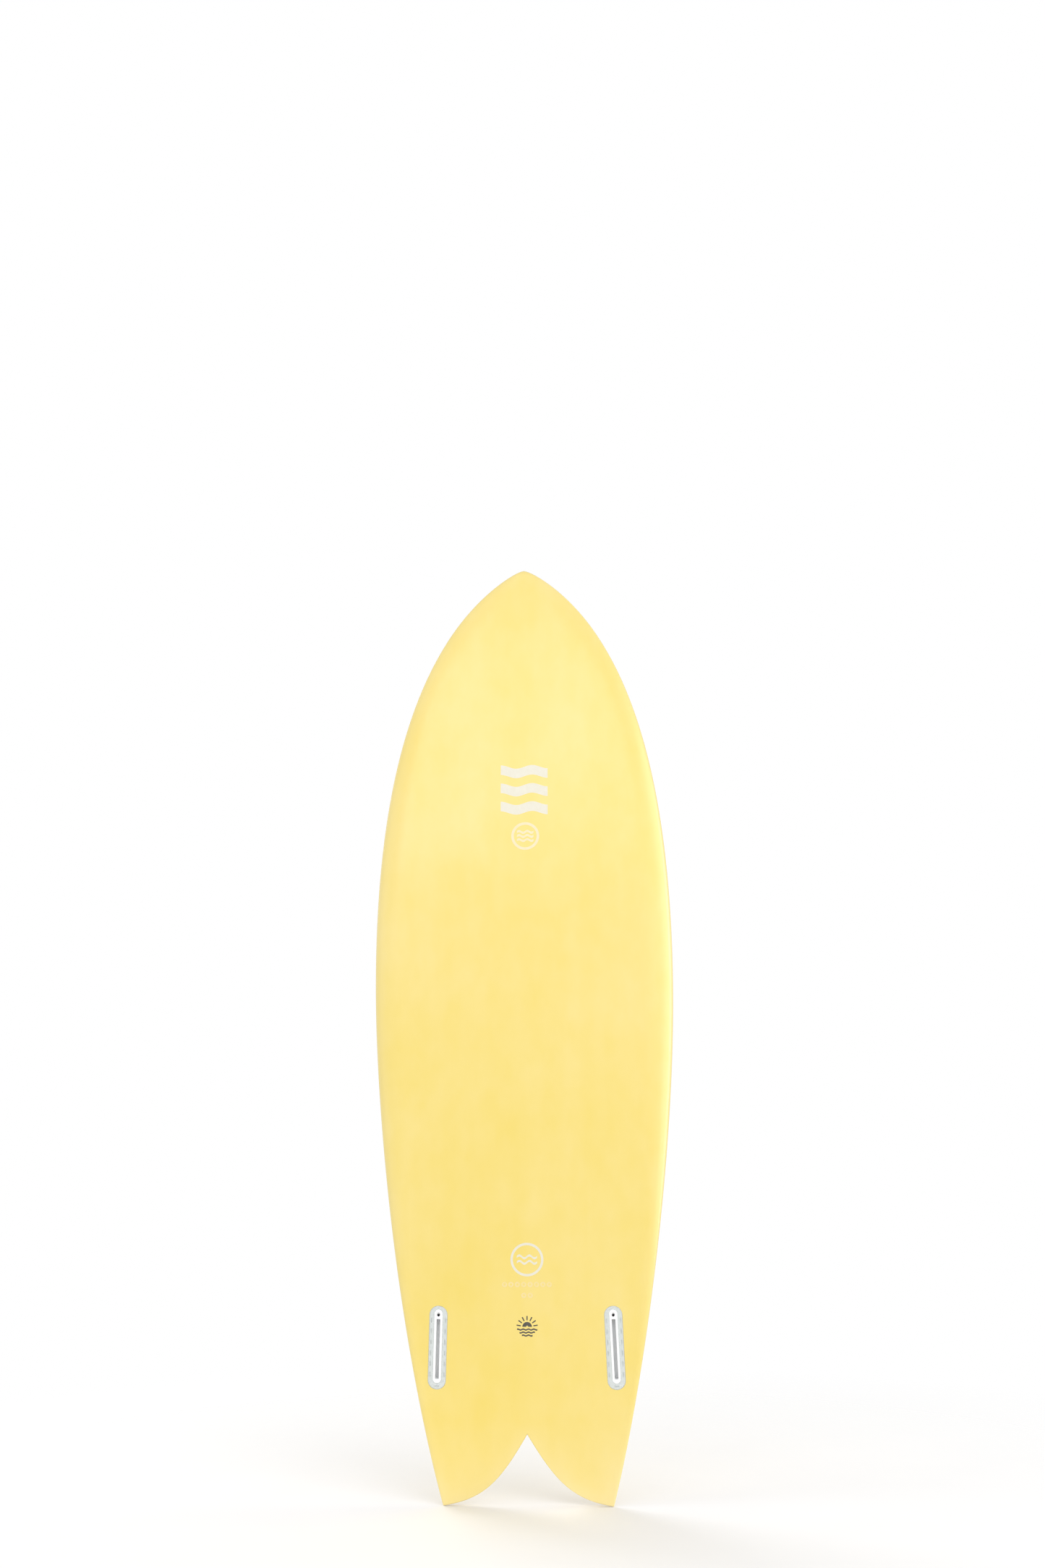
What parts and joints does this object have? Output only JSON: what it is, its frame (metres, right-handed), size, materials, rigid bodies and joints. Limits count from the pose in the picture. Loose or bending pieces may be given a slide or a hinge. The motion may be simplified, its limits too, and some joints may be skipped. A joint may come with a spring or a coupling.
{
  "type": "surfboard",
  "caption": "Short, wide fish surfboard with a rounded point nose, a swallow tail and flush single-tab fin boxes, without fins or leash.",
  "frame": {"origin": "on the ground under the middle of the board's box, as it stands on its two tail tips", "axes": "+Z from the tail tips to the nose, -Y the bottom side with the fin boxes, +Y the deck, +X to the right seen from the bottom side"},
  "size_m": [0.5708, 0.1322, 1.8],
  "materials": {
    "laminate": "satin",
    "foam": "matte",
    "stringer_wood": "matte",
    "box_plastic": "satin",
    "clear_resin": "satin",
    "stainless": "satin",
    "decal_print": "satin"
  },
  "bodies": {
    "board": {"bottom_laminate": "laminate", "deck_laminate": "laminate", "foam_core_left": "foam", "foam_core_right": "foam", "stringer": "stringer_wood", "fin_box_left": "box_plastic", "fin_box_right": "box_plastic", "fin_box_patch_left": "clear_resin", "fin_box_patch_right": "clear_resin", "fin_box_bed_left": "clear_resin", "fin_box_bed_right": "clear_resin", "leash_plug_cup": "box_plastic", "leash_plug_pin": "stainless", "leash_plug_bed": "clear_resin"},
    "left_screw": {"fin_screw_left": "stainless"},
    "right_screw": {"fin_screw_right": "stainless"}
  },
  "joints": [
    {"name": "fin_screw_left_turn", "type": "hinge", "parent": "board", "child": "left_screw", "pos_m": [-0.16384, -0.05317, 0.3537], "axis": [0.0247, -0.8097, 0.5864], "range_deg": [-720, 1440]},
    {"name": "fin_screw_right_turn", "type": "hinge", "parent": "board", "child": "right_screw", "pos_m": [0.16384, -0.05317, 0.3537], "axis": [-0.0247, -0.8097, 0.5864], "range_deg": [-720, 1440]}
  ]
}
